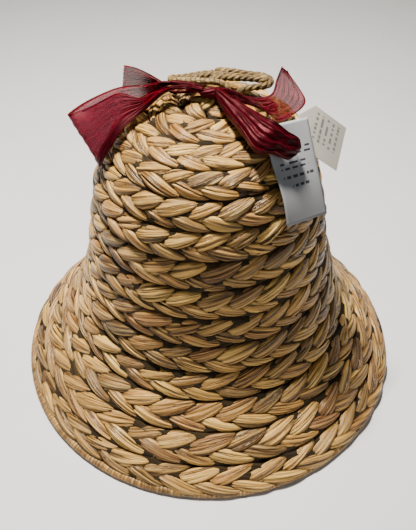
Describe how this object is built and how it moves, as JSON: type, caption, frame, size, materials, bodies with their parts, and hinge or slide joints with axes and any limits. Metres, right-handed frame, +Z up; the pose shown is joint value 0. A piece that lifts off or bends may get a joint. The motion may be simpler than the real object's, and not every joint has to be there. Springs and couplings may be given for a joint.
{
  "type": "woven bell ornament",
  "caption": "Hollow bell ornament of braided straw on a wrapped rim hoop, with a rope loop, an organza bow and two blank card tags.",
  "frame": {"origin": "centre of the rim at the surface it stands on", "axes": "+Z up along the bell's axis, -Y towards the side that the bow and tags face"},
  "size_m": [0.2996, 0.2996, 0.2375],
  "materials": {
    "woven_straw": "dried wide-leaf straw, satin",
    "wrapped_straw": "split straw wound over wire, matte",
    "rope_straw": "twisted straw rope, matte",
    "organza": "sheer burgundy organza, soft sheen",
    "grey_card": "coated grey-white card",
    "cream_card": "uncoated cream card"
  },
  "bodies": {
    "root": {"woven_bell": "woven_straw", "rim_binding": "wrapped_straw", "hanging_loop": "rope_straw", "ribbon_bow": "organza", "price_tag": "grey_card", "hang_tag": "cream_card"}
  },
  "joints": []
}
